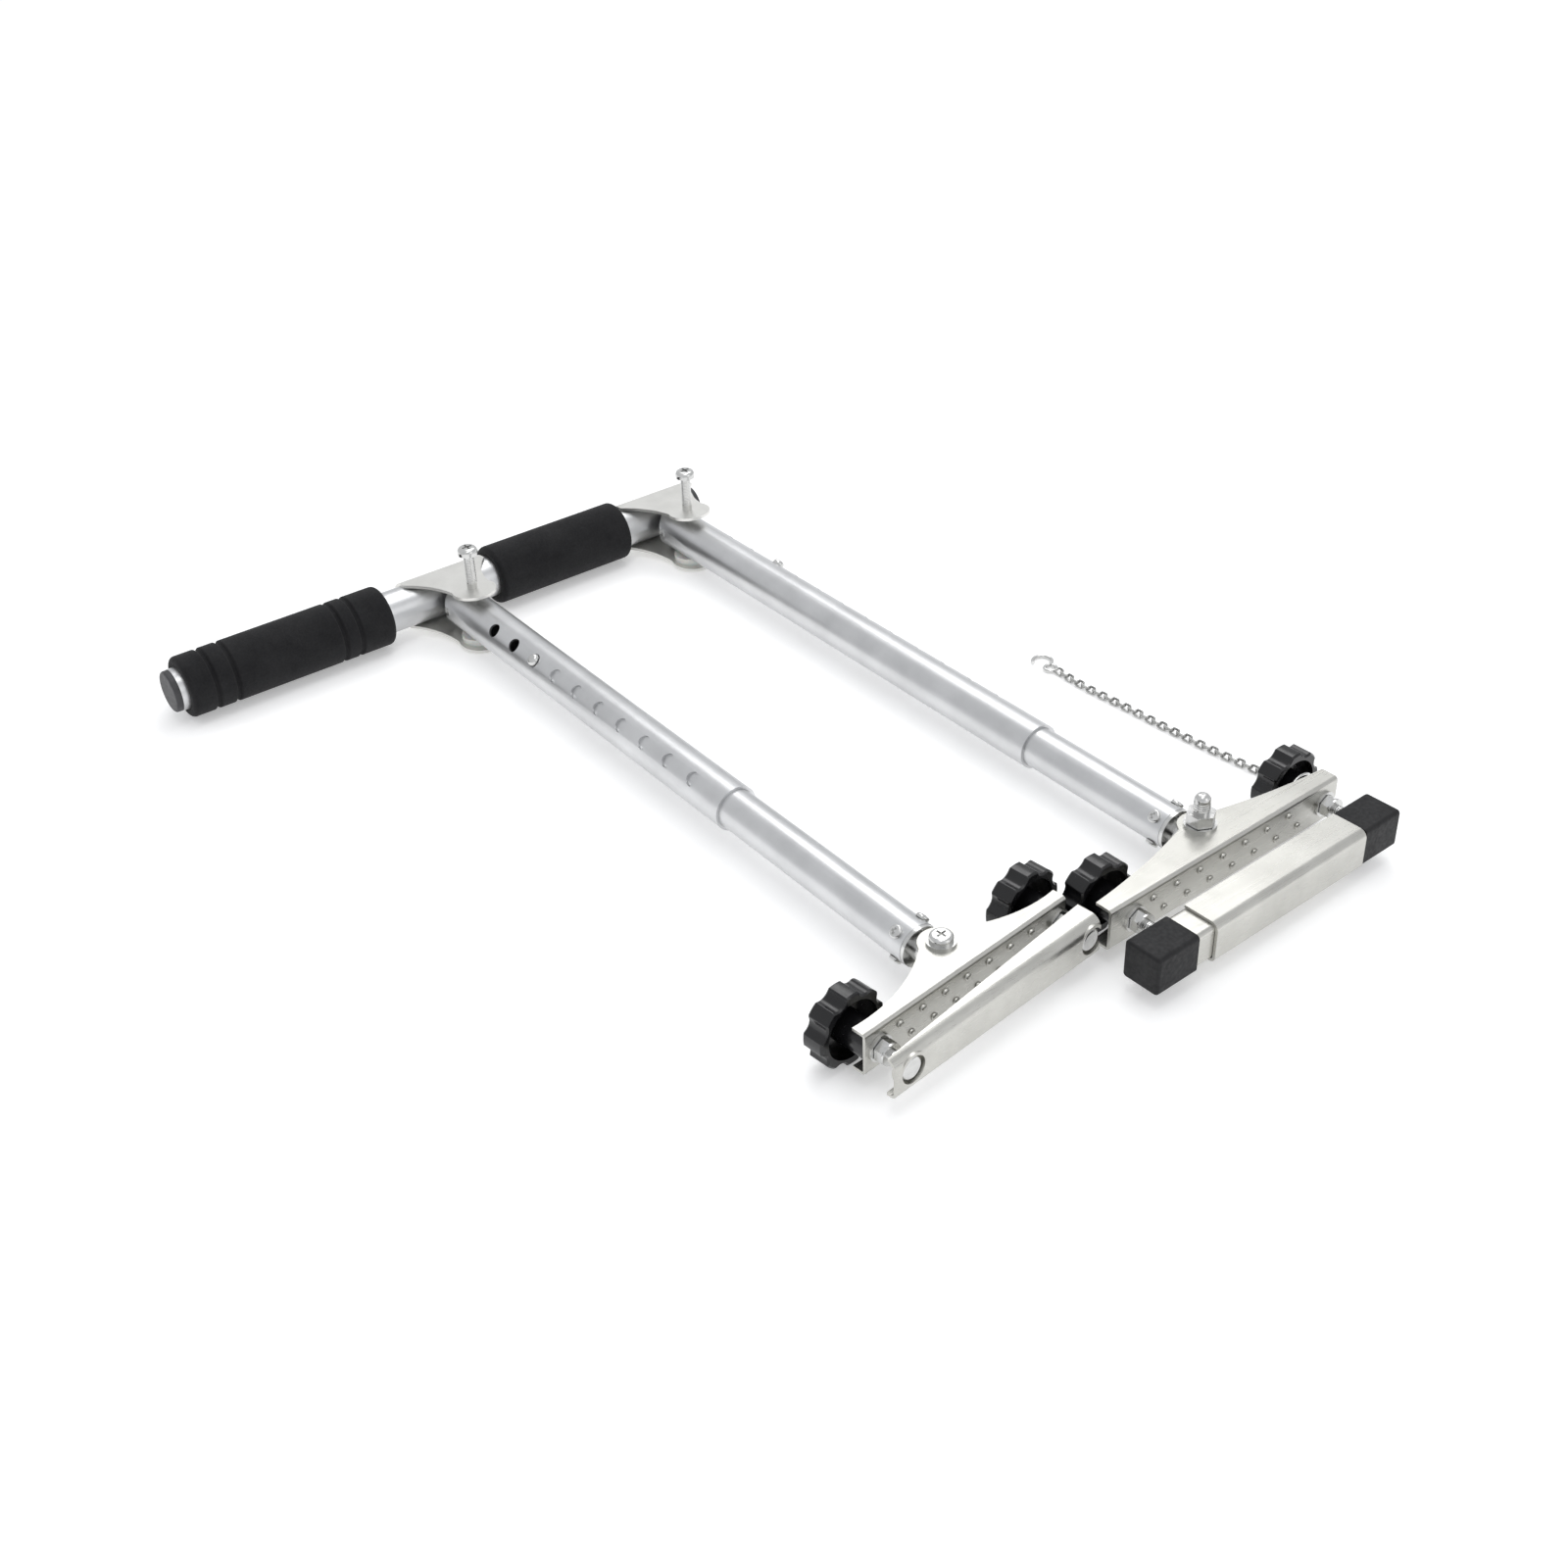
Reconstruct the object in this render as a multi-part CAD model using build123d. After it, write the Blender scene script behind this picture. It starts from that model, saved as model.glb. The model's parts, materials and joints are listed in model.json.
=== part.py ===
from build123d import *

import os
from math import cos, pi, radians, sin, tan

# Portable hand control for car pedals: a handle with two telescoping push rods, each ending in a
# pedal clamp. Sizes are in millimetres. The working frame has its origin on the handle's axis where
# the front rod meets it, +X along the rods towards the clamps, +Y along the handle, +Z up.

# Radial clearance of everything that turns or slides
RUNNING = 0.05

# Handle
HANDLE_R = 12.5
HANDLE_WALL = 1.5
HANDLE_START, HANDLE_END = -174.4, 178.0
GRIP_R = 18.1
GROOVED_GRIP = (-170.5, -43.0)
PLAIN_GRIP = (30.5, 124.0)
GROOVES = (-155.2, -143.0, -75.6, -65.2)
GROOVE_DEPTH = 1.6
GROOVE_WIDTH = 2.4
PLUG_HEAD = 3.6

# Clevis brackets, bent round the handle
ROD_SPACING = 154.5
CLEVIS_SHEET = 1.8
CLEVIS_HALF_WIDTH = 27.4
CLEVIS_TIP_R = 13.0
CLEVIS_TIP_X = 38.0
SPLAY = radians(5)
SWING_X = 36.0
SWING_SCREW_R = 3.0
SWING_HEAD_R = 6.0
SWING_HEAD_H = 4.4
SWING_HEAD_Z = 40.2
SWING_SCREW_END = -17.0
SPACER_R = 10.0

# Telescoping rods
OUTER_R, OUTER_BORE = 12.5, 11.05
INNER_R, INNER_BORE = 11.0, 9.8
ROD_START = 17.0
ROD_END_ROUND = 19.5
HOLE_FIRST, HOLE_PITCH, HOLE_R = 74.0, 22.0, 4.0
BUTTON_HOLE = 2
BUTTON_R = 3.5
BUTTON_TOP = 15.2
INNER_LEAD = 15.0
HOLE_ROLL = 45.0
EYE_SCREW_R = 2.0

# Clamp brackets, in a frame with its origin on the pivot and +X square to the web
SHEET = 1.5
WEB_HALF_HEIGHT = 11.5
APEX_R = 11.0
EYE_R = 10.0
EYE_HALF_HEIGHT = 8.0
EYE_SETBACK = 16.0
WASHER = 1.6
BUMPS, BUMP_PITCH, BUMP_ROW_Z, BUMP_R, BUMP_PROUD = 7, 16.2, 4.75, 2.0, 1.3
JAW_BOLT_R = 3.0

# Star knobs
KNOB_R, KNOB_THICK, KNOB_LOBES = 19.5, 12.0, 8
HUB_R, HUB_LENGTH = 8.2, 14.0
SHELL_R, SHELL_DEPTH = 15.0, 6.5
INSERT_R = 4.4
BOLT_PROUD = 2.7

# The two sides: front is the rod nearer to the grooved grip
FRONT = dict(
    name="front", y=0.0, roll=HOLE_ROLL, holes=10, outer_end=297.5, pivot=454.0, angle=6.4,
    web=19.2, ends=(-68.5, 64.0), shoulder=11.4, sag=5.6, bolts=(-60.0, 58.5), knob_gap=RUNNING,
    pin_r=3.0, stud_top=None,
)
REAR = dict(
    name="rear", y=ROD_SPACING, roll=-HOLE_ROLL, holes=12, outer_end=354.5, pivot=466.2, angle=1.8,
    web=18.6, ends=(-81.5, 81.5), shoulder=8.8, sag=1.8, bolts=(-65.5, 72.0), knob_gap=3.0,
    pin_r=4.0, stud_top=29.5,
)

# Front jaw, a lipped channel
JAW_DEPTH, JAW_FROM, JAW_TO, JAW_TOP, JAW_BOTTOM = 20.4, -71.0, 64.4, 10.5, -10.5
JAW_CORNER_R, JAW_LIP = 6.0, 5.5
TOP_EDGE_LEFT, TOP_EDGE_RIGHT = 15.6, 6.4
DISH_R, DISH_DEPTH = 8.5, 3.4

# Rear jaw, a square tube with rubber caps and a lipped channel over it
BEAM, BEAM_WALL, BEAM_CORNER, BEAM_GAP = 19.0, 1.5, 2.4, 17.2
BEAM_FROM, BEAM_TO = -89.0, 81.0
CAP_SIZE, CAP_LENGTH, CAP_WALL = 21.0, 26.5, 1.0
CHANNEL_FROM, CHANNEL_TO = -52.5, 55.0

# Chain with an S-hook, hung from a ring on the rear right knob's hub and laid on the floor
CHAIN_R = 2.3
CHAIN_Z = -17.2
RING_R, RING_WIRE = 10.0, 0.8
CHAIN_ROUTE = [
    (468.4, 226.5, -14.2),
    (468.8, 233.0, -16.9),
    (466.6, 240.5, CHAIN_Z),
    (459.5, 245.3, CHAIN_Z),
    (448.0, 246.9, CHAIN_Z),
    (430.0, 245.4, CHAIN_Z),
    (405.0, 242.0, CHAIN_Z),
    (372.0, 239.0, CHAIN_Z),
    (334.0, 237.0, CHAIN_Z),
    (304.0, 234.6, CHAIN_Z),
    (286.0, 235.8, CHAIN_Z),
]
HOOK_WIRE = 1.1
HOOK_SMALL_R, HOOK_BIG_R = 3.4, 5.6

FLOOR = -KNOB_R


def rod_x(radius, start, end):
    return Pos((start + end) / 2, 0, 0) * Rot(0, 90, 0) * Cylinder(radius, end - start)


def rod_y(radius, start, end):
    return Pos(0, (start + end) / 2, 0) * Rot(90, 0, 0) * Cylinder(radius, end - start)


def rod_z(radius, start, end):
    return Pos(0, 0, (start + end) / 2) * Cylinder(radius, end - start)


def block(x0, x1, y0, y1, z0, z1):
    centre = Pos((x0 + x1) / 2, (y0 + y1) / 2, (z0 + z1) / 2)
    return centre * Box(abs(x1 - x0), abs(y1 - y0), abs(z1 - z0))


def washer_z(outer, inner, start, end):
    return rod_z(outer, start, end) - rod_z(inner, start - 1, end + 1)


def hex_nut(across_flats, bore, height):
    """A nut standing on z = 0, its corners bevelled by a cone."""
    nut = extrude(RegularPolygon(across_flats / 2, 6, major_radius=False), height)
    bevel = Cone(across_flats * 0.5 + height, across_flats * 0.5, height)
    top = Pos(0, 0, height - height / 2 + height * 0.05) * bevel
    under = Pos(0, 0, height / 2 - height * 0.05) * Rot(180, 0, 0) * bevel
    return nut & top & under - rod_z(bore, -1, height + 1)


def pan_head(radius, height, slot_depth):
    """A pan head standing on z = 0, with a cross recess."""
    head = Pos(0, 0, height / 2) * Cylinder(radius, height)
    head = fillet(head.edges().sort_by(Axis.Z)[-1], height * 0.6)
    for turn in (0, 90):
        recess = block(-radius * 0.5, radius * 0.5, -0.6, 0.6, height - slot_depth, height + 1)
        head -= Rot(0, 0, turn) * recess
    return head


# Handle


def handle_tube():
    return rod_y(HANDLE_R, HANDLE_START, HANDLE_END) - rod_y(
        HANDLE_R - HANDLE_WALL, HANDLE_START - 1, HANDLE_END + 1
    )


def handle_plug(end, outward):
    """A push-in plug with a domed head. outward is -1 or 1 along Y."""
    stem_r = HANDLE_R - HANDLE_WALL
    head = Pos(0, 0, PLUG_HEAD / 2) * Cylinder(HANDLE_R - 0.3, PLUG_HEAD)
    head = fillet(head.edges().sort_by(Axis.Z)[-1], 1.4)
    stem = rod_z(stem_r, -14, 0) - rod_z(stem_r - 2, -15, -2)
    return Pos(0, end, 0) * Rot(-90 * outward, 0, 0) * (head + stem)


def grip(span, grooves):
    start, end = span
    body = rod_y(GRIP_R, start, end) - rod_y(HANDLE_R, start - 1, end + 1)
    rims = body.edges().filter_by(GeomType.CIRCLE).filter_by(lambda e: e.radius > GRIP_R - 0.1)
    body = fillet(rims, 2.4)
    for middle in grooves:
        low, high = middle - GROOVE_WIDTH / 2, middle + GROOVE_WIDTH / 2
        body -= rod_y(GRIP_R + 1, low, high) - rod_y(GRIP_R - GROOVE_DEPTH, low - 1, high + 1)
    return body


def clevis_profile():
    """The bent sheet seen along the handle: round the tube's back, with two ears that splay."""
    reach = CLEVIS_TIP_X + CLEVIS_TIP_R + 3

    def leave(radius, side):
        return (-radius * sin(SPLAY), side * radius * cos(SPLAY))

    def tip(radius, side):
        x, z = leave(radius, side)
        return (x + reach * cos(SPLAY), z + side * reach * sin(SPLAY))

    outer = HANDLE_R + CLEVIS_SHEET
    edges = [
        Line(tip(HANDLE_R, -1), leave(HANDLE_R, -1)),
        ThreePointArc(leave(HANDLE_R, -1), (-HANDLE_R, 0), leave(HANDLE_R, 1)),
        Line(leave(HANDLE_R, 1), tip(HANDLE_R, 1)),
        Line(tip(HANDLE_R, 1), tip(outer, 1)),
        Line(tip(outer, 1), leave(outer, 1)),
        ThreePointArc(leave(outer, 1), (-outer, 0), leave(outer, -1)),
        Line(leave(outer, -1), tip(outer, -1)),
        Line(tip(outer, -1), tip(HANDLE_R, -1)),
    ]
    return make_face(edges)


def clevis_outline():
    """The ear seen from above: wide at the handle, with concave sides and a round tip."""
    half, tip_x, tip_r = CLEVIS_HALF_WIDTH, CLEVIS_TIP_X, CLEVIS_TIP_R
    root_x, waist = 1.5, (20.0, half * 0.565)
    side = radians(110)
    join = (tip_x + tip_r * cos(side), tip_r * sin(side))
    back = -(HANDLE_R + CLEVIS_SHEET + 2)
    edges = [
        Line((back, -half), (root_x, -half)),
        ThreePointArc((root_x, -half), (waist[0], -waist[1]), (join[0], -join[1])),
        ThreePointArc((join[0], -join[1]), (tip_x + tip_r, 0), join),
        ThreePointArc(join, waist, (root_x, half)),
        Line((root_x, half), (back, half)),
        Line((back, half), (back, -half)),
    ]
    return make_face(edges)


def clevis():
    bent = extrude(Plane.XZ * clevis_profile(), CLEVIS_HALF_WIDTH + 1, both=True)
    bent = bent & extrude(clevis_outline(), 30, both=True)
    return bent - Pos(SWING_X, 0, 0) * rod_z(SWING_SCREW_R, -30, 30)


def swing_screw():
    shank = rod_z(SWING_SCREW_R, SWING_SCREW_END, SWING_HEAD_Z)
    head = Pos(0, 0, SWING_HEAD_Z) * pan_head(SWING_HEAD_R, SWING_HEAD_H, 1.8)
    return Pos(SWING_X, 0, 0) * (chamfer(shank.edges().sort_by(Axis.Z)[0], 0.6) + head)


def spacer():
    """A nylon washer that fills the gap between the rod and the lower ear, so its foot is sloped."""
    body = Pos(SWING_X, 0, 0) * washer_z(SPACER_R, SWING_SCREW_R, -OUTER_R - 6, -OUTER_R - RUNNING)
    under = extrude(Plane.XZ * make_face(Polyline(
        (0, -HANDLE_R / cos(SPLAY)),
        (80, -HANDLE_R / cos(SPLAY) - 80 * tan(SPLAY)),
        (80, 0),
        (0, 0),
        close=True,
    )), 30, both=True)
    return body & under


# Rods


def outer_tube(side):
    tube = rod_x(OUTER_R, ROD_START, side["outer_end"]) - rod_x(OUTER_BORE, 0, 400)
    tube -= rounding()
    for turn in (0, 180):
        flat = Rot(0, 0, 1.2) * block(-20, 36, 11.75, 20, -20, 20)
        tube -= Rot(turn, 0, 0) * Pos(ROD_START, 0, 0) * flat
    tube -= Pos(SWING_X, 0, 0) * rod_z(SWING_SCREW_R + RUNNING, -20, 20)
    for number in range(side["holes"]):
        x = HOLE_FIRST + number * HOLE_PITCH
        tube -= Rot(side["roll"], 0, 0) * Pos(x, 0, 0) * rod_z(HOLE_R, 5, 20)
    return tube - insert_rivet()


def rounding():
    """What is cut away so that the rod's end clears the handle while it swings."""
    corner = block(ROD_START - 10, SWING_X, -20, 20, -20, 20)
    return corner - Pos(SWING_X, 0, 0) * rod_z(ROD_END_ROUND, -30, 30)


def rivet_shank():
    return Pos(ROD_START + 6, 0, 0) * rod_y(1.3, -OUTER_R, -7)


def pivot_insert():
    body = rod_x(OUTER_BORE, ROD_START, 50) - rounding()
    return body - Pos(SWING_X, 0, 0) * rod_z(SWING_SCREW_R + RUNNING, -20, 20) - rivet_shank()


def insert_rivet():
    head = Pos(ROD_START + 6, 0, 0) * rod_y(2.2, -12.35, -11.65)
    shank = Pos(ROD_START + 6, 0, 0) * rod_y(1.3, -11.9, -7)
    return head + shank


def button_x():
    return HOLE_FIRST + BUTTON_HOLE * HOLE_PITCH


def eye_screw_spots(side):
    x = side["pivot"] - EYE_SETBACK - 6
    for turn in range(4):
        yield Rot(HOLE_ROLL + 90 * turn, 0, 0) * Pos(x, 0, 0)


def inner_tube(side):
    end = side["pivot"] - EYE_SETBACK
    tube = rod_x(INNER_R, button_x() - INNER_LEAD, end) - rod_x(INNER_BORE, 0, 500)
    tube -= Rot(side["roll"], 0, 0) * Pos(button_x(), 0, 0) * rod_z(BUTTON_R + RUNNING, 5, 20)
    for spot in eye_screw_spots(side):
        tube -= spot * rod_z(EYE_SCREW_R, 5, 20)
    return tube


def snap_button(side):
    """A domed button with a collar that rests inside the inner tube."""
    stem = rod_z(BUTTON_R, 8.0, BUTTON_TOP)
    stem = fillet(stem.edges().sort_by(Axis.Z)[-1], 2.2)
    collar = rod_z(BUTTON_R + 1.0, 7.4, 8.5)
    return Rot(side["roll"], 0, 0) * Pos(button_x(), 0, 0) * (stem + collar)


def button_clip(side):
    """The bent leaf spring inside the inner tube that pushes the button out."""
    x = button_x()
    path = Polyline((x - 8, 6.9), (x + 6, 6.9), (x + 30, -1), (x + 6, -9.0), (x - 8, -9.0))
    strip = extrude(Plane.XZ * trace(path, line_width=0.7), 2.0, both=True)
    return Rot(side["roll"], 0, 0) * strip


def rod_eye(side):
    """The plug screwed into the inner tube, its collar, its neck and the eye on the pivot."""
    end = side["pivot"] - EYE_SETBACK
    body = rod_x(INNER_BORE, end - 22, end) + rod_x(INNER_R - 0.2, end, end + 2.2)
    body += rod_x(6.5, end + 2, side["pivot"] - 4)
    eye = rod_z(EYE_R, -EYE_HALF_HEIGHT, EYE_HALF_HEIGHT)
    body += Pos(side["pivot"], 0, 0) * chamfer(eye.edges().filter_by(GeomType.CIRCLE), 1.0)
    body -= Pos(side["pivot"], 0, 0) * rod_z(side["pin_r"] + RUNNING, -20, 20)
    for spot in eye_screw_spots(side):
        body -= spot * rod_z(EYE_SCREW_R, 4, 20)
    return body


def eye_screws(side):
    """Four pan-head screws set radially round the inner tube's end."""
    screw = rod_z(EYE_SCREW_R, 4, 11.2) + Pos(0, 0, 10.85) * pan_head(3.4, 1.9, 1.0)
    flat = screw - rod_x(INNER_R, -8, 8) + rod_z(EYE_SCREW_R, 4, 10.9)
    return Compound(children=[spot * copy_of(flat) for spot in eye_screw_spots(side)])


def copy_of(shape):
    return Pos(0, 0, 0) * shape


# Clamps, in their own frame


def clamp_place(side):
    return Pos(side["pivot"], 0, 0) * Rot(0, 0, side["angle"])


def bracket_outline(side):
    """The flange seen from above: a long front edge and concave sides up to the pivot."""
    web, shoulder = side["web"], side["shoulder"]
    low, high = side["ends"]
    turn = radians(112)
    join_x, join_y = APEX_R * cos(turn), APEX_R * sin(turn)
    middle_x = (shoulder + join_x) / 2 + side["sag"]
    edges = [
        Line((web, low), (shoulder, low)),
        ThreePointArc((shoulder, low), (middle_x, (low - join_y) / 2), (join_x, -join_y)),
        ThreePointArc((join_x, -join_y), (-APEX_R, 0), (join_x, join_y)),
        ThreePointArc((join_x, join_y), (middle_x, (high + join_y) / 2), (shoulder, high)),
        Line((shoulder, high), (web, high)),
        Line((web, high), (web, low)),
    ]
    return make_face(edges)


def clamp_bracket(side):
    web, height = side["web"], WEB_HALF_HEIGHT
    body = extrude(bracket_outline(side), height, both=True)
    bends = body.edges().filter_by(Axis.Y).filter_by(lambda e: e.center().X > web - 0.1)
    body = fillet(bends, SHEET + 0.7)
    inner = block(-40, web - SHEET, -100, 100, SHEET - height, height - SHEET)
    inner_bends = inner.edges().filter_by(Axis.Y).filter_by(lambda e: e.center().X > 0)
    body -= fillet(inner_bends, 0.7)
    body -= rod_z(side["pin_r"] + 0.1, -20, 20)
    for at in side["bolts"]:
        body -= Pos(0, at, 0) * rod_x(JAW_BOLT_R + 0.25, web - 5, web + 5)
    return body + bumps(side)


def bumps(side):
    """Two staggered rows of raised pips that grip the pedal."""
    web = side["web"]
    pip = rod_x(BUMP_R, web - 0.3, web + BUMP_PROUD)
    pip = fillet(pip.edges().sort_by(Axis.X)[-1], BUMP_PROUD * 0.92)
    reach = min(1.0, (min(-side["bolts"][0], side["bolts"][1]) - 8) / (BUMP_PITCH * BUMPS / 2))
    made = []
    for row, shift in ((1, -0.25), (-1, 0.25)):
        for number in range(BUMPS):
            along = (number - (BUMPS - 1) / 2 + shift) * BUMP_PITCH * reach
            made.append(Pos(0, along, row * BUMP_ROW_Z) * pip)
    return made


def pivot_bolt(side):
    """The bolt through the eye. The rear one stands up as a long stud with its head underneath."""
    radius, seat = side["pin_r"], WEB_HALF_HEIGHT + WASHER
    if side["stud_top"] is None:
        shank = rod_z(radius, -seat - 5.3, seat)
        return shank + Pos(0, 0, seat) * pan_head(5.8, 3.4, 1.6)
    shank = rod_z(radius, -seat, side["stud_top"])
    shank = fillet(shank.edges().sort_by(Axis.Z)[-1], radius * 0.75)
    return shank + Pos(0, 0, -seat) * Rot(180, 0, 0) * pan_head(6.5, 4.6, 1.8)


def pivot_nut(side):
    seat = WEB_HALF_HEIGHT + WASHER
    if side["stud_top"] is None:
        return Pos(0, 0, -seat) * Rot(180, 0, 0) * hex_nut(10.0, side["pin_r"], 4.8)
    return Pos(0, 0, seat) * hex_nut(13.0, side["pin_r"], 6.5)


def pivot_washers(side):
    """One washer outside each flange and one each side of the eye."""
    inside = WEB_HALF_HEIGHT - SHEET
    stack = [
        (WEB_HALF_HEIGHT, WEB_HALF_HEIGHT + WASHER),
        (-WEB_HALF_HEIGHT - WASHER, -WEB_HALF_HEIGHT),
        (EYE_HALF_HEIGHT + RUNNING, inside),
        (-inside, -EYE_HALF_HEIGHT - RUNNING),
    ]
    rings = [washer_z(side["pin_r"] + 4.2, side["pin_r"], low, high) for low, high in stack]
    return Compound(children=rings)


def knob_face(side):
    """How far in front of the pivot the knob's disc ends and its hub starts."""
    return side["web"] - SHEET - side["knob_gap"] - HUB_LENGTH


def knob(side):
    """A lobed disc, hollow towards the web, with a long hub that bears on the web."""
    face = knob_face(side)
    outline = Circle(KNOB_R)
    for number in range(KNOB_LOBES):
        angle = 2 * pi * (number + 0.5) / KNOB_LOBES
        outline -= Pos(22.6 * cos(angle), 22.6 * sin(angle)) * Circle(5.4)
    corners = outline.vertices()
    outline = fillet(corners, 1.1)
    disc = extrude(outline, KNOB_THICK)
    rims = disc.edges().filter_by(lambda e: abs(e.center().Z - KNOB_THICK / 2) > KNOB_THICK / 2 - 0.1)
    disc = chamfer(rims, 0.9)
    disc -= rod_z(SHELL_R, KNOB_THICK - SHELL_DEPTH, KNOB_THICK + 1)
    hub = rod_z(HUB_R, 0, KNOB_THICK + HUB_LENGTH)
    body = disc + hub - Cylinder(INSERT_R, 200)
    return Pos(face - KNOB_THICK, 0, 0) * Rot(0, 90, 0) * body


def knob_insert(side):
    face = knob_face(side)
    bore = rod_x(JAW_BOLT_R + RUNNING, -60, 60)
    return rod_x(INSERT_R, face - KNOB_THICK, face + HUB_LENGTH) - bore


# Jaws, in the clamp's frame


def lipped_channel(back, front, top, bottom, start, end, corner_r):
    """A channel open to the back: top flange, rounded corner, front wall and a short lower lip."""
    wall = SHEET
    outer = block(back - 30, front, start, end, bottom, top)
    outer = round_front(outer, front, top, bottom, corner_r, 3.0)
    inner = block(back - 40, front - wall, start - 1, end + 1, bottom + wall, top - wall)
    inner = round_front(inner, front - wall, top - wall, bottom + wall, corner_r - wall, 1.5)
    shell = outer - inner
    shell -= block(back - 50, back, start - 1, end + 1, 0, top + 1)
    return shell - block(back - 50, front - JAW_LIP, start - 1, end + 1, bottom - 1, 0)


def round_front(body, front, top, bottom, top_r, bottom_r):
    def at(level):
        return lambda e: e.center().X > front - 0.01 and abs(e.center().Z - level) < 0.01

    body = fillet(body.edges().filter_by(Axis.Y).filter_by(at(top)), top_r)
    return fillet(body.edges().filter_by(Axis.Y).filter_by(at(bottom)), bottom_r)


def front_jaw_plate():
    web, front = FRONT["web"], FRONT["web"] + JAW_DEPTH
    plate = lipped_channel(
        web + TOP_EDGE_RIGHT, front, JAW_TOP, JAW_BOTTOM, JAW_FROM, JAW_TO, JAW_CORNER_R
    )
    slant = make_face(Polyline(
        (web, JAW_FROM - 1),
        (web + TOP_EDGE_LEFT, JAW_FROM - 1),
        (web + TOP_EDGE_RIGHT, JAW_TO + 1),
        (web, JAW_TO + 1),
        close=True,
    ))
    plate -= Pos(0, 0, 2) * extrude(slant, 12)
    for at in FRONT["bolts"]:
        low = front - DISH_DEPTH - SHEET
        cup = rod_x(DISH_R, low, front) - rod_x(DISH_R - SHEET, low + SHEET, front + 1)
        plate = plate - Pos(0, at, 0) * rod_x(DISH_R - 0.1, low, front + 1) + Pos(0, at, 0) * cup
        plate -= Pos(0, at, 0) * rod_x(JAW_BOLT_R, low - 1, front)
    return plate & block(web, front + 1, JAW_FROM, JAW_TO, -20, 20)


def jaw_bolt(side, seat):
    """A round-headed bolt from the jaw back through the web and the knob."""
    end = knob_face(side) - KNOB_THICK - BOLT_PROUD
    shank = rod_x(JAW_BOLT_R, end, seat)
    shank = chamfer(shank.edges().sort_by(Axis.X)[0], 0.5)
    head = Pos(0, 0, 1.4) * Cylinder(6.2, 2.8)
    head = fillet(head.edges().sort_by(Axis.Z)[-1], 1.9)
    return shank + Pos(seat, 0, 0) * Rot(0, 90, 0) * head


def jaw_bolts(side, seat):
    return Compound(children=[Pos(0, at, 0) * jaw_bolt(side, seat) for at in side["bolts"]])


def jam_nuts(side):
    """A washer, a nut and a second washer on each bolt, stopping the jaw against the web."""
    web = side["web"] + RUNNING
    ring = rod_x(6.8, web, web + 1.4) - rod_x(JAW_BOLT_R, web - 5, web + 20)
    nut = Pos(web + 1.4, 0, 0) * Rot(0, 90, 0) * hex_nut(10.0, JAW_BOLT_R, 5.0)
    lock = rod_x(5.6, web + 6.4, web + 7.4) - rod_x(JAW_BOLT_R, web - 5, web + 20)
    pieces = [Pos(0, at, 0) * p for at in side["bolts"] for p in (ring, nut, lock)]
    return Compound(children=pieces)


def beam_back():
    return REAR["web"] + BEAM_GAP


def jaw_beam():
    back, half = beam_back(), BEAM / 2
    inner = half - BEAM_WALL
    tube = block(back, back + BEAM, BEAM_FROM, BEAM_TO, -half, half)
    tube = fillet(tube.edges().filter_by(Axis.Y), BEAM_CORNER)
    tube -= block(back + BEAM_WALL, back + BEAM - BEAM_WALL, -200, 200, -inner, inner)
    for at in REAR["bolts"]:
        tube -= Pos(0, at, 0) * rod_x(JAW_BOLT_R, back - 5, back + 5)
    return tube


def beam_cap(end, outward):
    """A moulded rubber cap over the beam's end, holed for the bolt behind it."""
    back, half = beam_back(), BEAM / 2
    low, high = sorted((end + outward * CAP_WALL * 1.5, end - outward * (CAP_LENGTH - 1.5)))
    centre = back + half
    outer = block(centre - CAP_SIZE / 2, centre + CAP_SIZE / 2, low, high, -CAP_SIZE / 2, CAP_SIZE / 2)
    outer = fillet(outer.edges().filter_by(Axis.Y), 2.2)
    outer = fillet(outer.faces().sort_by(Axis.Y)[-1 if outward > 0 else 0].edges(), 1.6)
    core = block(back, back + BEAM, end - outward * 40, end, -half, half)
    core = fillet(core.edges().filter_by(Axis.Y), BEAM_CORNER)
    at = REAR["bolts"][0 if outward < 0 else 1]
    return outer - core - Pos(0, at, 0) * rod_x(JAW_BOLT_R + 0.2, back - 5, back + 5)


def rear_jaw_plate():
    back, half = beam_back(), BEAM / 2
    front = back + BEAM + SHEET + 0.2
    top, bottom = half + SHEET + 0.2, -half - SHEET
    return lipped_channel(back + 0.6, front, top, bottom, CHANNEL_FROM, CHANNEL_TO, 4.5)


# Chain


def chain_ring():
    wire = Pos(RING_R, 0, 0) * Rot(90, 0, 0) * Circle(RING_WIRE)
    ring = Rot(0, 90, 0) * revolve(wire, Axis.Z)
    hang = HUB_R + RING_WIRE + 0.1 - RING_R
    return Pos(knob_face(REAR) + 3.6, REAR["bolts"][1], hang) * ring


def turn_radii(points):
    """0.45 of the shorter run, divided by the tangent of half the turn, at each inner point."""
    radii = []
    for before, here, after in zip(points, points[1:], points[2:]):
        first, second = Vector(*here) - Vector(*before), Vector(*after) - Vector(*here)
        half_turn = radians(first.get_angle(second)) / 2
        radii.append(0.45 * min(first.length, second.length) / tan(half_turn))
    return radii


def chain():
    radii = turn_radii(CHAIN_ROUTE)
    path = FilletPolyline(*CHAIN_ROUTE, radius=radii)
    section = Plane(origin=path @ 0, z_dir=path % 0) * Circle(CHAIN_R)
    tube = sweep(section, path)
    print("chain length", round(path.length, 1), "radii", [round(r, 1) for r in radii])
    print("chain volume share", round(tube.volume / (pi * CHAIN_R**2 * path.length), 4))
    return tube


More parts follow.
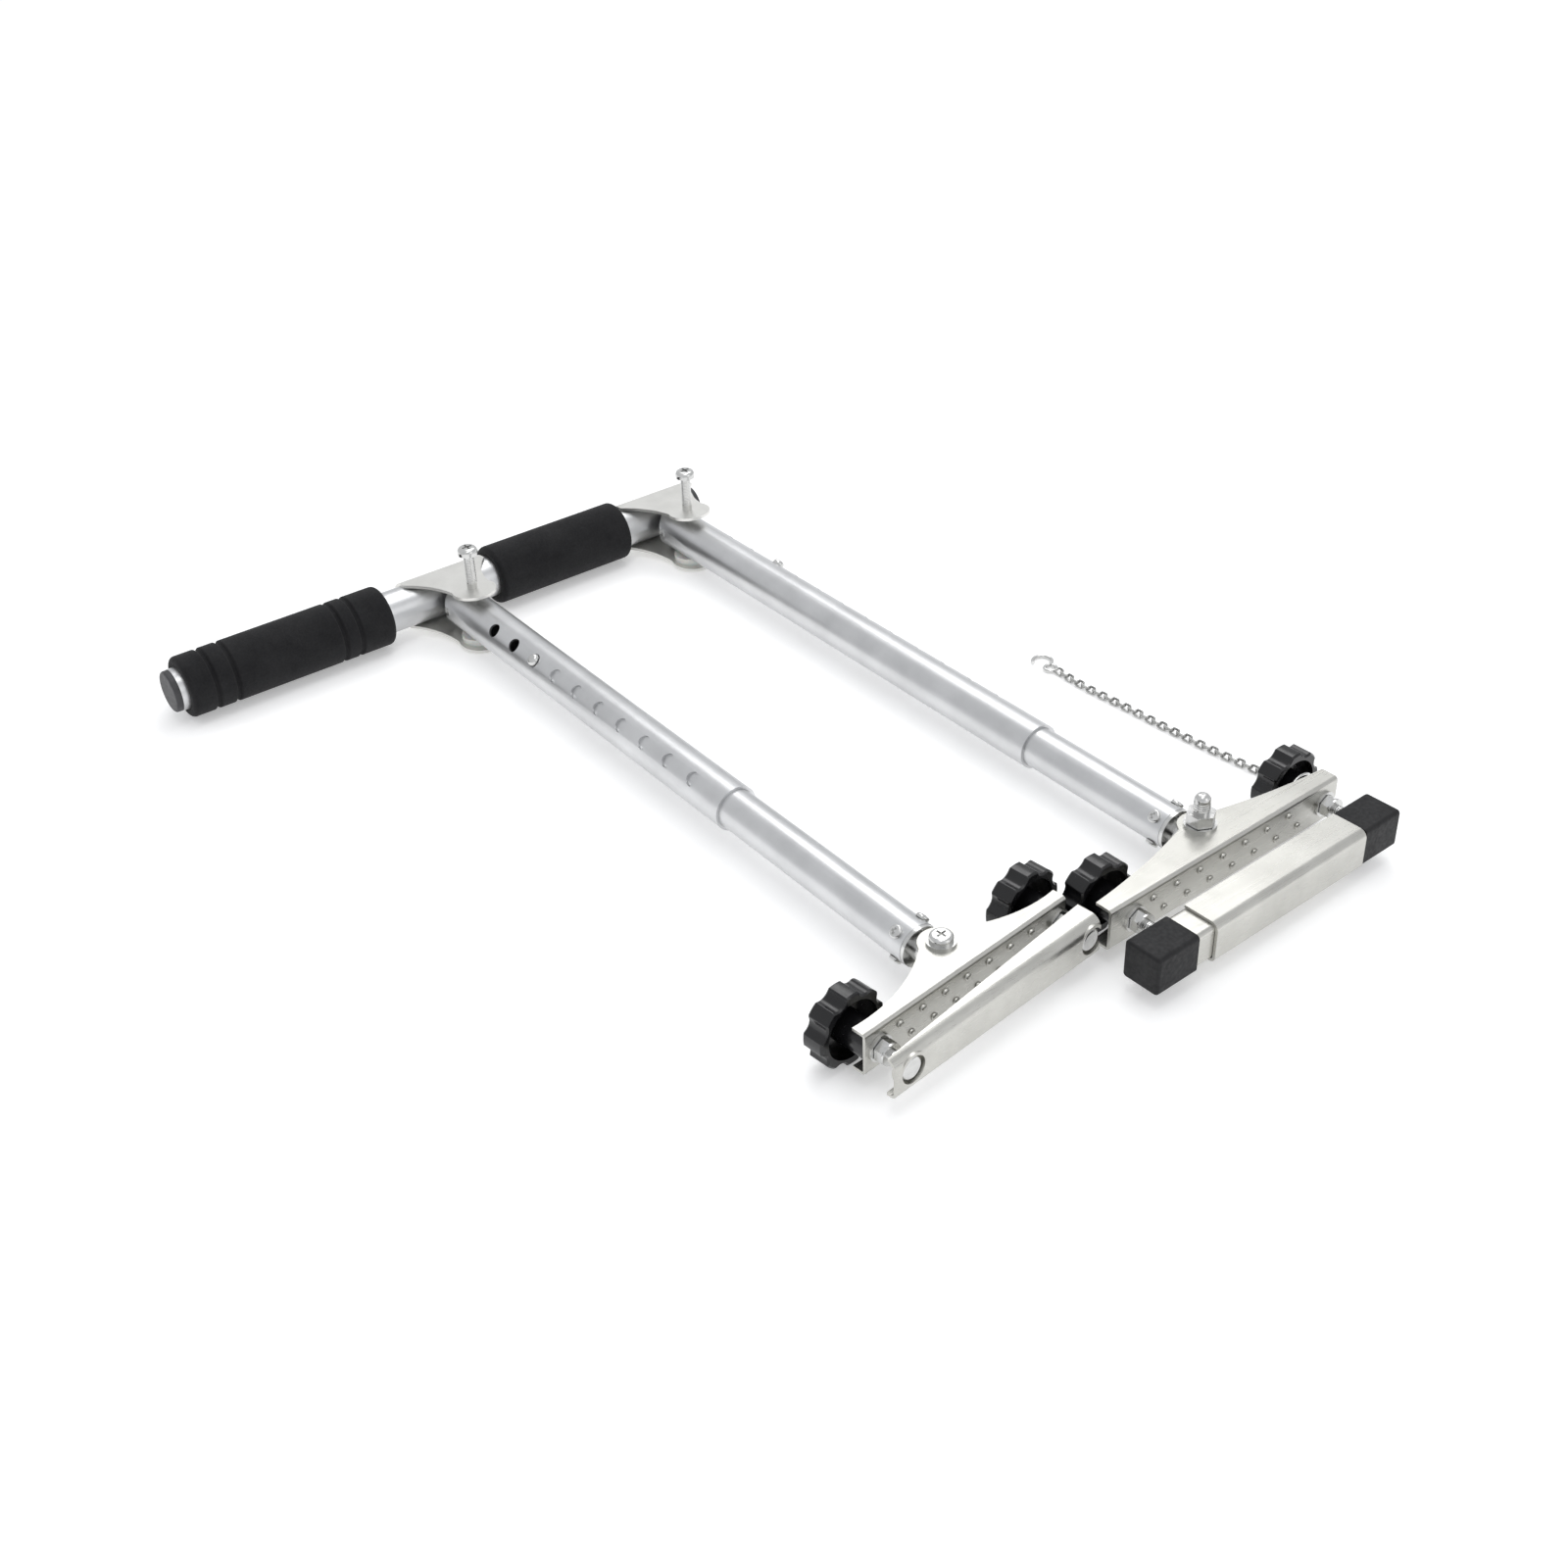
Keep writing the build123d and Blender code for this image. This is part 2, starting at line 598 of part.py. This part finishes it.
def s_hook():
    """Two open loops of round wire, tangent where they meet."""
    small = CenterArc((0, -HOOK_SMALL_R), HOOK_SMALL_R, 90, 318)
    big = CenterArc((0, HOOK_BIG_R), HOOK_BIG_R, -90, 262)
    path = Wire([small, big])
    section = Plane(origin=path @ 0, z_dir=path % 0) * Circle(HOOK_WIRE)
    hook = sweep(section, path)
    end = CHAIN_ROUTE[-1]
    reach = CHAIN_R + 0.2 + HOOK_SMALL_R * 2
    place = Pos(end[0] - reach, end[1] + 0.6, FLOOR + HOOK_WIRE + 0.2) * Rot(0, 0, 78)
    return place * hook


# Assembly


def side_parts(side):
    """Every piece of one side, by node name, in the working frame."""
    name, place = side["name"], Pos(0, side["y"], 0)
    in_clamp = place * clamp_place(side)
    left, right = side["bolts"]
    seat = FRONT["web"] + JAW_DEPTH - DISH_DEPTH if side is FRONT else beam_back() + BEAM_WALL
    parts = {
        "clevis": place * clevis(),
        "clevis_screw": place * swing_screw(),
        "clevis_spacer": place * spacer(),
        "outer_tube": place * outer_tube(side),
        "pivot_insert": place * pivot_insert(),
        "insert_rivet": place * insert_rivet(),
        "inner_tube": place * inner_tube(side),
        "snap_button": place * snap_button(side),
        "button_clip": place * button_clip(side),
        "rod_eye": place * rod_eye(side),
        "eye_screws": place * eye_screws(side),
        "clamp_bracket": in_clamp * clamp_bracket(side),
        "pivot_bolt": in_clamp * pivot_bolt(side),
        "pivot_nut": in_clamp * pivot_nut(side),
        "pivot_washers": in_clamp * pivot_washers(side),
        "jaw_bolts": in_clamp * jaw_bolts(side, seat),
        "jam_nuts": in_clamp * jam_nuts(side),
        "left_knob": in_clamp * Pos(0, left, 0) * knob(side),
        "left_knob_insert": in_clamp * Pos(0, left, 0) * knob_insert(side),
        "right_knob": in_clamp * Pos(0, right, 0) * knob(side),
        "right_knob_insert": in_clamp * Pos(0, right, 0) * knob_insert(side),
    }
    return {f"{name}_{key}": shape for key, shape in parts.items()}


def all_parts():
    parts = {
        "handle_tube": handle_tube(),
        "left_handle_plug": handle_plug(HANDLE_START, -1),
        "right_handle_plug": handle_plug(HANDLE_END, 1),
        "grooved_grip": grip(GROOVED_GRIP, GROOVES),
        "plain_grip": grip(PLAIN_GRIP, ()),
    }
    parts.update(side_parts(FRONT))
    parts.update(side_parts(REAR))
    front = clamp_place(FRONT)
    rear = Pos(0, REAR["y"], 0) * clamp_place(REAR)
    parts["front_jaw_plate"] = front * front_jaw_plate()
    parts["rear_jaw_plate"] = rear * rear_jaw_plate()
    parts["rear_jaw_beam"] = rear * jaw_beam()
    parts["rear_left_cap"] = rear * beam_cap(BEAM_FROM, -1)
    parts["rear_right_cap"] = rear * beam_cap(BEAM_TO, 1)
    parts["chain_ring"] = rear * chain_ring()
    parts["chain"] = chain()
    parts["s_hook"] = s_hook()
    return parts


CORD_NODES = ("chain", "s_hook")


def base_shift(parts):
    """Moves the middle of the object's footprint on the floor to the origin, chain left out."""
    solid = [shape for name, shape in parts.items() if name not in CORD_NODES]
    box = Compound(children=[copy_of(shape) for shape in solid]).bounding_box()
    return Vector(-(box.min.X + box.max.X) / 2, -(box.min.Y + box.max.Y) / 2, -box.min.Z)


def main():
    parts = all_parts()
    shift = base_shift(parts)
    print("shift", [round(v, 4) for v in shift])
    os.makedirs("parts", exist_ok=True)
    for name, shape in parts.items():
        export_step(Pos(shift) * shape, f"parts/{name}.step")


if __name__ == "__main__":
    main()
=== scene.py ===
import json
from math import cos, pi, radians, sin

import bpy
from mathutils import Matrix, Vector


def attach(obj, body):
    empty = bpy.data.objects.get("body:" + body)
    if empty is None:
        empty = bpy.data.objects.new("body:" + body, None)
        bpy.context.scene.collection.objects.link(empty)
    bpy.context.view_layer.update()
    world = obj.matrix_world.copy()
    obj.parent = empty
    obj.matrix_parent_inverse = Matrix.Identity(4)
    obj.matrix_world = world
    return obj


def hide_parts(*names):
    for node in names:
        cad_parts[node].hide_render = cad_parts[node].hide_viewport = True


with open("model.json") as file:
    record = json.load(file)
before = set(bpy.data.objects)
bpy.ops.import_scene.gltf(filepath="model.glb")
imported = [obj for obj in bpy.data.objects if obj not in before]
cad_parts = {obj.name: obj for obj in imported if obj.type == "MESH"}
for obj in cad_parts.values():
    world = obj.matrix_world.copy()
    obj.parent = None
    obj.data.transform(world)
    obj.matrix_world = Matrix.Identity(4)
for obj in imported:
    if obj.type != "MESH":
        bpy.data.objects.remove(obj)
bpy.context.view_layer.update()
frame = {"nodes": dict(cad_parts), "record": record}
NODES = frame["nodes"]
MM = 0.001

# The CAD's working origin, on the handle's axis where the front rod meets it, in the row frame
ORIGIN = Vector((-253.3328, -33.9649, 19.5)) * MM
CLAMPS = {
    "front": {"pivot": (454.0, 0.0), "angle": radians(6.4), "web": 19.2, "bolts": (-60.0, 58.5)},
    "rear": {"pivot": (466.2, 154.5), "angle": radians(1.8), "web": 18.6, "bolts": (-65.5, 72.0)},
}


def row(x, y, z):
    """A point in the working frame, in millimetres, as a point in the row frame."""
    return ORIGIN + Vector((x, y, z)) * MM


def in_clamp(side, depth, along, height=0.0):
    """A point of a clamp: depth from its pivot towards the pedal, along its web, and height."""
    clamp = CLAMPS[side]
    c, s = cos(clamp["angle"]), sin(clamp["angle"])
    x, y = clamp["pivot"]
    return row(x + depth * c - along * s, y + depth * s + along * c, height)


# Camera

CAMERA_TARGET = (295.67, 31.79, 0)
CAMERA_AZIMUTH, CAMERA_ELEVATION, CAMERA_ROLL = 53.96, 34.53, -2.35
CAMERA_DISTANCE = 1002.63 * MM
SENSOR_WIDTH = 36
FOCAL_TO_WIDTH = 1993.84 / 1600


def add_camera():
    azimuth, elevation = radians(CAMERA_AZIMUTH), radians(CAMERA_ELEVATION)
    roll = radians(CAMERA_ROLL)
    back = Vector((
        sin(azimuth) * cos(elevation),
        -cos(azimuth) * cos(elevation),
        sin(elevation),
    ))
    right = (-back).cross(Vector((0, 0, 1))).normalized()
    up = right.cross(-back)
    turned_right = cos(roll) * right + sin(roll) * up
    turned_up = -sin(roll) * right + cos(roll) * up
    place = Matrix((turned_right, turned_up, back)).transposed().to_4x4()
    place.translation = row(*CAMERA_TARGET) + back * CAMERA_DISTANCE
    data = bpy.data.cameras.new("camera")
    data.sensor_width = SENSOR_WIDTH
    data.lens = SENSOR_WIDTH * FOCAL_TO_WIDTH
    data.clip_end = 50
    camera = bpy.data.objects.new("camera", data)
    camera.matrix_world = place
    bpy.context.scene.collection.objects.link(camera)
    bpy.context.scene.camera = camera


# Mesh helpers


def add_mesh(name, points, faces, smooth=True):
    data = bpy.data.meshes.new(name)
    data.from_pydata([tuple(p) for p in points], [], faces)
    data.update()
    for polygon in data.polygons:
        polygon.use_smooth = smooth
    thing = bpy.data.objects.new(name, data)
    bpy.context.scene.collection.objects.link(thing)
    return thing


def ring_faces(rows, around, closed):
    """Quads over a grid of rows, each with the same number of points around."""
    faces = []
    for i in range(rows if closed else rows - 1):
        j = (i + 1) % rows
        for k in range(around):
            m = (k + 1) % around
            faces.append((i * around + k, i * around + m, j * around + m, j * around + k))
    return faces


def frame_of(axis):
    """Two unit vectors square to an axis and to each other."""
    side = axis.orthogonal().normalized()
    return side, axis.cross(side).normalized()


# Chain

CHAIN_Z = -17.2
CHAIN_ROUTE = [
    (468.4, 226.5, -14.2),
    (468.8, 233.0, -16.9),
    (466.6, 240.5, CHAIN_Z),
    (459.5, 245.3, CHAIN_Z),
    (448.0, 246.9, CHAIN_Z),
    (430.0, 245.4, CHAIN_Z),
    (405.0, 242.0, CHAIN_Z),
    (372.0, 239.0, CHAIN_Z),
    (334.0, 237.0, CHAIN_Z),
    (304.0, 234.6, CHAIN_Z),
    (286.0, 235.8, CHAIN_Z),
]
LINK_PITCH = 4.3 * MM
LINK_WIRE = 0.66 * MM
LINK_HALF_WIDTH = 1.72 * MM
LINK_TWIST = 0.35
LINK_ROLL = 42


def smooth_line(route):
    """The points of the route's own NURBS line, end to end."""
    data = bpy.data.curves.new("route", "CURVE")
    data.dimensions = "3D"
    data.resolution_u = 24
    spline = data.splines.new("NURBS")
    spline.points.add(len(route) - 1)
    for point, place in zip(spline.points, route):
        point.co = (*row(*place), 1)
    spline.order_u = 3
    spline.use_endpoint_u = True
    thing = bpy.data.objects.new("route", data)
    bpy.context.scene.collection.objects.link(thing)
    made = bpy.data.meshes.new_from_object(thing)
    points = [v.co.copy() for v in made.vertices]
    bpy.data.objects.remove(thing)
    bpy.data.meshes.remove(made)
    return points


def walk(points, step):
    """Places and directions every step along a line of points."""
    found, travelled, wanted = [], 0.0, step / 2
    for a, b in zip(points, points[1:]):
        length = (b - a).length
        while length > 0 and travelled + length >= wanted:
            found.append((a.lerp(b, (wanted - travelled) / length), (b - a).normalized()))
            wanted += step
        travelled += length
    return found, travelled


def link_line(steps=26):
    """One chain link's centre line: a long ring, its ends bent out of its plane."""
    half = LINK_PITCH / 2 + LINK_WIRE * 0.9
    straight = half - LINK_HALF_WIDTH * 0.8
    line = []
    for k in range(steps):
        angle = 2 * pi * k / steps
        x = cos(angle) * LINK_HALF_WIDTH * 0.8 + (straight if cos(angle) > 0 else -straight)
        y = sin(angle) * LINK_HALF_WIDTH
        line.append(Vector((x, y, LINK_TWIST * LINK_HALF_WIDTH * sin(2 * angle))))
    return line


def add_chain():
    """Twisted links along the route, each rolled the other way from its neighbour."""
    path = smooth_line(CHAIN_ROUTE)
    places, length = walk(path, LINK_PITCH)
    line, around = link_line(), 8
    points, faces = [], []
    for number, (place, along) in enumerate(places):
        side = along.cross(Vector((0, 0, 1))).normalized()
        lift = side.cross(along)
        roll = radians(LINK_ROLL if number % 2 else -LINK_ROLL)
        across = cos(roll) * side + sin(roll) * lift
        normal = along.cross(across)
        base = len(points)
        for k, here in enumerate(line):
            ahead = (line[(k + 1) % len(line)] - line[k - 1]).normalized()
            out_a, out_b = frame_of(ahead)
            for m in range(around):
                turn = 2 * pi * m / around
                p = here + (cos(turn) * out_a + sin(turn) * out_b) * LINK_WIRE
                points.append(place + along * p.x + across * p.y + normal * p.z)
        twisted = ring_faces(len(line), around, True)
        faces += [tuple(base + v for v in face) for face in twisted]
    chain = add_mesh("chain_links", points, faces)
    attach(chain, "rear_clamp")
    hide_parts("chain")
    return chain


# Foam grips

HANDLE_R = 12.5
GRIP_R = 18.1
GROOVE_DEPTH = 1.6
GROOVE_HALF = 1.2
GRIP_SHOULDER = 2.6
GRIPS = (
    ("foam_grip_grooved", "grooved_grip", -170.5, -43.0, (-155.2, -143.0, -75.6, -65.2)),
    ("foam_grip_plain", "plain_grip", 30.5, 124.0, ()),
)


def grip_radius(y, start, end, grooves):
    """The grip's radius at y, with rounded shoulders and soft-edged grooves."""
    near_end = min(y - start, end - y)
    radius = GRIP_R
    if near_end < GRIP_SHOULDER:
        drop = GRIP_SHOULDER - near_end
        radius -= GRIP_SHOULDER - (GRIP_SHOULDER**2 - drop**2) ** 0.5
    for middle in grooves:
        away = abs(y - middle) / (GROOVE_HALF * 1.5)
        if away < 1:
            radius -= GROOVE_DEPTH * (1 - away**4) ** 2
    return radius


def add_grip(name, node, start, end, grooves):
    stations = []
    steps = int((end - start) / 0.4)
    for k in range(steps + 1):
        stations.append(start + (end - start) * k / steps)
    edge = [0.02, 0.08, 0.18, 0.35, 0.6]
    stations = sorted(set(stations + [start + e for e in edge] + [end - e for e in edge]))
    profile = [(start + 0.15, HANDLE_R + 0.05)]
    profile += [(y, grip_radius(y, start, end, grooves)) for y in stations]
    profile += [(end - 0.15, HANDLE_R + 0.05)]
    around = 96
    points = []
    for y, radius in profile:
        for m in range(around):
            turn = 2 * pi * m / around
            points.append(row(radius * cos(turn), y, radius * sin(turn)))
    grip = add_mesh(name, points, ring_faces(len(profile), around, True))
    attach(grip, "handle")
    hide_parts(node)
    return grip


# Screw threads

JAM_NUT_FRONT = 7.9
GAP_THREAD_END = {"front": 13.5, "rear": 15.5}
KNOB_BACK = {"front": 1.5 + 0.05 + 26.0, "rear": 1.5 + 3.0 + 26.0}
BOLT_R, BOLT_PITCH = 3.0 * MM, 1.0 * MM
TIP_R, TIP_LENGTH, TIP_PITCH, TIP_PROUD = 2.95 * MM, 1.6 * MM, 0.6 * MM, 2.0
STUD_R, STUD_FROM, STUD_LENGTH, STUD_PITCH = 4.0 * MM, 20.2, 5.6 * MM, 1.25 * MM
SWING_X, SWING_FROM, SWING_LENGTH = 36, 21.0, 18.0 * MM
ROD_Y = {"front": 0.0, "rear": 154.5}


def add_thread(name, body, start, axis, radius, length, pitch):
    """A thin triangular ridge wound round a shank."""
    axis = axis.normalized()
    a, b = frame_of(axis)
    depth, around = 0.13 * pitch, 28
    turns = length / pitch
    steps = int(turns * around)
    points, faces = [], []
    for k in range(steps + 1):
        turn = 2 * pi * k / around
        out = cos(turn) * a + sin(turn) * b
        fade = min(1.0, k / around, (steps - k) / around)
        middle = start + axis * (pitch * k / around)
        low = radius - 0.02 * MM
        points.append(middle - axis * pitch * 0.42 + out * low)
        points.append(middle + out * (low + depth * fade + 0.02 * MM))
        points.append(middle + axis * pitch * 0.42 + out * low)
    for k in range(steps):
        i, j = 3 * k, 3 * k + 3
        faces += [(i, i + 1, j + 1, j), (i + 1, i + 2, j + 2, j + 1), (i + 2, i, j, j + 2)]
    faces += [(0, 2, 1), (3 * steps, 3 * steps + 1, 3 * steps + 2)]
    thread = add_mesh(name, points, faces, smooth=False)
    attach(thread, body)
    return thread


def add_threads():
    made = []
    for side, clamp in CLAMPS.items():
        axis = in_clamp(side, 1, 0) - in_clamp(side, 0, 0)
        gap_length = (GAP_THREAD_END[side] - JAM_NUT_FRONT) * MM
        knob_back = clamp["web"] - KNOB_BACK[side]
        for label, along in zip(("left", "right"), clamp["bolts"]):
            start = in_clamp(side, clamp["web"] + JAM_NUT_FRONT, along)
            made.append(add_thread(
                f"{side}_{label}_gap_thread", f"{side}_jaw", start, axis,
                BOLT_R, gap_length, BOLT_PITCH,
            ))
            start = in_clamp(side, knob_back - TIP_PROUD, along)
            made.append(add_thread(
                f"{side}_{label}_tip_thread", f"{side}_jaw", start, axis,
                TIP_R, TIP_LENGTH, TIP_PITCH,
            ))
    stud = in_clamp("rear", 0, 0, STUD_FROM)
    up = Vector((0, 0, 1))
    made.append(add_thread(
        "rear_stud_thread", "rear_clamp", stud, up, STUD_R, STUD_LENGTH, STUD_PITCH
    ))
    for side, y in ROD_Y.items():
        start = row(SWING_X, y, SWING_FROM)
        made.append(add_thread(
            f"{side}_swing_thread", "handle", start, up, BOLT_R, SWING_LENGTH, BOLT_PITCH
        ))
    return made


# Materials


class Shader:
    """A material under construction, with short calls for the nodes it uses."""

    def __init__(self, name):
        self.material = bpy.data.materials.new(name)
        self.material.use_nodes = True
        self.tree = self.material.node_tree
        self.surface = self.tree.nodes["Principled BSDF"]
        self.place = self.tree.nodes.new("ShaderNodeTexCoord").outputs["Object"]

    def set(self, **values):
        for key, value in values.items():
            self.surface.inputs[key.replace("_", " ")].default_value = value
        return self

    def link(self, a, b):
        self.tree.links.new(a, b)

    def stretched(self, scale, turn=0.0):
        node = self.tree.nodes.new("ShaderNodeMapping")
        node.inputs["Scale"].default_value = scale
        node.inputs["Rotation"].default_value = (0, 0, turn)
        self.link(self.place, node.inputs["Vector"])
        return node.outputs["Vector"]

    def noise(self, scale, detail=4.0, rough=0.55, vector=None):
        node = self.tree.nodes.new("ShaderNodeTexNoise")
        node.inputs["Scale"].default_value = scale
        node.inputs["Detail"].default_value = detail
        node.inputs["Roughness"].default_value = rough
        self.link(vector or self.place, node.inputs["Vector"])
        return node.outputs["Fac"]

    def cells(self, scale):
        node = self.tree.nodes.new("ShaderNodeTexVoronoi")
        node.inputs["Scale"].default_value = scale
        self.link(self.place, node.inputs["Vector"])
        return node.outputs["Distance"]

    def span(self, value, low, high, start=0.3, end=0.7):
        """Maps value, from start to end, onto low to high."""
        node = self.tree.nodes.new("ShaderNodeMapRange")
        node.inputs["From Min"].default_value = start
        node.inputs["From Max"].default_value = end
        node.inputs["To Min"].default_value = low
        node.inputs["To Max"].default_value = high
        self.link(value, node.inputs["Value"])
        return node.outputs["Result"]

    def tint(self, value, dark, light, start=0.3, end=0.7):
        node = self.tree.nodes.new("ShaderNodeValToRGB")
        node.color_ramp.elements[0].position = start
        node.color_ramp.elements[0].color = (*dark, 1)
        node.color_ramp.elements[1].position = end
        node.color_ramp.elements[1].color = (*light, 1)
        self.link(value, node.inputs["Fac"])
        self.link(node.outputs["Color"], self.surface.inputs["Base Color"])
        return self

    def rough(self, value, low, high, start=0.3, end=0.7):
        self.link(self.span(value, low, high, start, end), self.surface.inputs["Roughness"])
        return self

    def bump(self, height, strength, distance):
        node = self.tree.nodes.new("ShaderNodeBump")
        node.inputs["Strength"].default_value = strength
        node.inputs["Distance"].default_value = distance
        self.link(height, node.inputs["Height"])
        before = self.surface.inputs["Normal"].links
        if before:
            self.link(before[0].from_socket, node.inputs["Normal"])
        self.link(node.outputs["Normal"], self.surface.inputs["Normal"])
        return self


def drawn_metal(name, dark, light, rough, axis, grain, turn=0.0, strength=0.12):
    """Metal with fine lines along one axis and a cloudy finish."""
    shader = Shader(name).set(Metallic=1.0)
    scale = [grain, grain, grain]
    scale[axis] = grain * 0.012
    lines = shader.noise(1.0, 3.0, 0.6, shader.stretched(scale, turn))
    clouds = shader.noise(38.0, 5.0, 0.6)
    shader.tint(clouds, dark, light)
    shader.rough(lines, rough[0], rough[1])
    shader.bump(lines, strength, 0.00006)
    shader.bump(shader.noise(900.0, 2.0), 0.05, 0.00004)
    return shader.material


def plated(name, dark, light, rough):
    """Plated hardware: bright, with tiny pits and patches of haze."""
    shader = Shader(name).set(Metallic=1.0)
    clouds = shader.noise(160.0, 5.0, 0.6)
    shader.tint(clouds, dark, light)
    shader.rough(shader.noise(420.0, 3.0), rough[0], rough[1])
    shader.bump(shader.noise(1500.0, 2.0), 0.08, 0.00005)
    return shader.material


def make_materials():
    made = {}
    made["aluminium_tube"] = drawn_metal(
        "satin_tube", (0.58, 0.585, 0.59), (0.68, 0.685, 0.69), (0.30, 0.42), 0, 2600.0
    )
    made["handle_tube"] = drawn_metal(
        "satin_handle", (0.58, 0.585, 0.59), (0.68, 0.685, 0.69), (0.30, 0.42), 1, 2600.0
    )
    made["inner_tube"] = drawn_metal(
        "satin_inner_tube", (0.58, 0.585, 0.59), (0.68, 0.685, 0.69), (0.28, 0.40), 0, 2200.0
    )
    for side, clamp in CLAMPS.items():
        made[f"{side}_sheet"] = drawn_metal(
            f"{side}_zinc_sheet", (0.50, 0.495, 0.465), (0.60, 0.595, 0.56), (0.24, 0.38), 1,
            1500.0, -clamp["angle"], 0.10,
        )
    # The clevis's zinc sheet is the clamps' sheet painted lighter: a painted highlight standing in
    # for light on its shaded lower flange.
    made["clevis_sheet"] = drawn_metal(
        "bent_zinc_sheet_painted_light", (0.70, 0.695, 0.665), (0.80, 0.795, 0.765), (0.34, 0.50), 0, 1500.0
    )
    made["bright_screws"] = plated(
        "plated_screws", (0.56, 0.56, 0.55), (0.70, 0.70, 0.69), (0.14, 0.28)
    )
    made["chain_metal"] = plated(
        "chain_metal", (0.34, 0.34, 0.33), (0.48, 0.48, 0.47), (0.18, 0.32)
    )

    foam = Shader("black_foam").set(Sheen_Weight=0.04, Sheen_Roughness=0.6, Specular_IOR_Level=0.2)
    foam.tint(foam.noise(60.0, 6.0, 0.65), (0.006, 0.006, 0.007), (0.015, 0.015, 0.016))
    foam.rough(foam.noise(900.0, 3.0), 0.72, 0.95)
    foam.bump(foam.cells(2300.0), 0.45, 0.00016)
    foam.bump(foam.noise(260.0, 4.0), 0.25, 0.00022)
    made["black_foam"] = foam.material

    plastic = Shader("moulded_black_plastic").set(Specular_IOR_Level=0.5)
    plastic.tint(plastic.noise(90.0, 5.0), (0.003, 0.003, 0.0035), (0.008, 0.008, 0.009))
    plastic.rough(plastic.noise(350.0, 4.0), 0.14, 0.28)
    plastic.bump(plastic.noise(1900.0, 3.0), 0.16, 0.00006)
    made["black_plastic"] = plastic.material

    rubber = Shader("black_rubber").set(Specular_IOR_Level=0.3)
    rubber.tint(rubber.noise(70.0, 5.0), (0.006, 0.006, 0.007), (0.016, 0.016, 0.017))
    rubber.rough(rubber.noise(500.0, 4.0), 0.48, 0.70)
    rubber.bump(rubber.noise(2400.0, 3.0), 0.22, 0.00007)
    made["black_rubber"] = rubber.material

    plug = Shader("dark_plug").set(Specular_IOR_Level=0.4)
    plug.tint(plug.noise(90.0, 5.0), (0.030, 0.030, 0.032), (0.062, 0.062, 0.066))
    plug.rough(plug.noise(500.0, 4.0), 0.42, 0.62)
    plug.bump(plug.noise(2000.0, 3.0), 0.18, 0.00006)
    made["dark_plug"] = plug.material

    grey = Shader("grey_plastic")
    grey.tint(grey.noise(120.0, 5.0), (0.05, 0.05, 0.052), (0.10, 0.10, 0.104))
    grey.rough(grey.noise(500.0, 4.0), 0.40, 0.60)
    grey.bump(grey.noise(1800.0, 3.0), 0.15, 0.00006)
    made["grey_plastic"] = grey.material

    nylon = Shader("natural_nylon").set(Subsurface_Weight=0.25, Subsurface_Scale=0.002)
    nylon.tint(nylon.noise(140.0, 5.0), (0.70, 0.70, 0.66), (0.82, 0.82, 0.79))
    nylon.rough(nylon.noise(600.0, 4.0), 0.38, 0.55)
    nylon.bump(nylon.noise(1700.0, 3.0), 0.12, 0.00006)
    made["natural_nylon"] = nylon.material
    return made


def paint(thing, material):
    thing.data.materials.clear()
    thing.data.materials.append(material)


def material_for(node, slot_name):
    if node == "handle_tube":
        return "handle_tube"
    if slot_name == "zinc_sheet":
        # The clevis gets the lighter copy of the zinc sheet, with painted light in its colour.
        if node.endswith("clevis"):
            return "clevis_sheet"
        return node.split("_")[0] + "_sheet"
    return slot_name


def paint_all(extra):
    made = make_materials()
    for entry in frame["record"]["subparts"]:
        node, slot_name = entry["node"], entry["material_slot"]
        thing = NODES[node]
        material = made[material_for(node, slot_name)]
        for place in thing.material_slots:
            place.material = material
        if not thing.material_slots:
            thing.data.materials.append(material)
    for thing, key in extra:
        paint(thing, made[key])


# Studio


FLOOR_HALF = 40.0
LIGHT_TARGET = (250, 40, 0)
# Name, offset from the target, width, depth and power of each area light
LIGHTS = (
    ("key", (-0.9, 0.9, 1.6), 1.3, 0.8, 9.0),
    ("top", (0.2, 0.1, 1.8), 1.6, 0.5, 7.0),
    ("side", (1.7, 0.5, 0.9), 0.9, 1.2, 3.0),
)


def add_studio():
    half = FLOOR_HALF
    corners = [(-half, -half, 0), (half, -half, 0), (half, half, 0), (-half, half, 0)]
    floor = add_mesh("floor", corners, [(0, 1, 2, 3)], smooth=False)
    shader = Shader("white_floor").set(Roughness=0.9, Specular_IOR_Level=0.1)
    shader.set(Emission_Color=(1, 1, 1, 1), Emission_Strength=0.30)
    shader.tint(shader.noise(3.0, 2.0), (0.86, 0.86, 0.86), (0.88, 0.88, 0.88))
    paint(floor, shader.material)

    world = bpy.data.worlds.new("studio")
    world.use_nodes = True
    background = world.node_tree.nodes["Background"]
    background.inputs["Color"].default_value = (0.90, 0.91, 0.93, 1)
    background.inputs["Strength"].default_value = 0.80
    bpy.context.scene.world = world

    target = row(*LIGHT_TARGET)
    for name, offset, width, depth, power in LIGHTS:
        data = bpy.data.lights.new(name, "AREA")
        data.shape = "RECTANGLE"
        data.size, data.size_y = width, depth
        data.energy = power
        light = bpy.data.objects.new(name, data)
        light.location = target + Vector(offset)
        light.rotation_euler = Vector(offset).to_track_quat("Z", "Y").to_euler()
        bpy.context.scene.collection.objects.link(light)
    settings = bpy.context.scene.view_settings
    settings.view_transform = "Standard"
    settings.look = "None"
    settings.exposure = 0.0


add_camera()
extra = [(add_chain(), "chain_metal")]
for name, node, start, end, grooves in GRIPS:
    extra.append((add_grip(name, node, start, end, grooves), "black_foam"))
extra += [(thread, "bright_screws") for thread in add_threads()]
paint_all(extra)
add_studio()
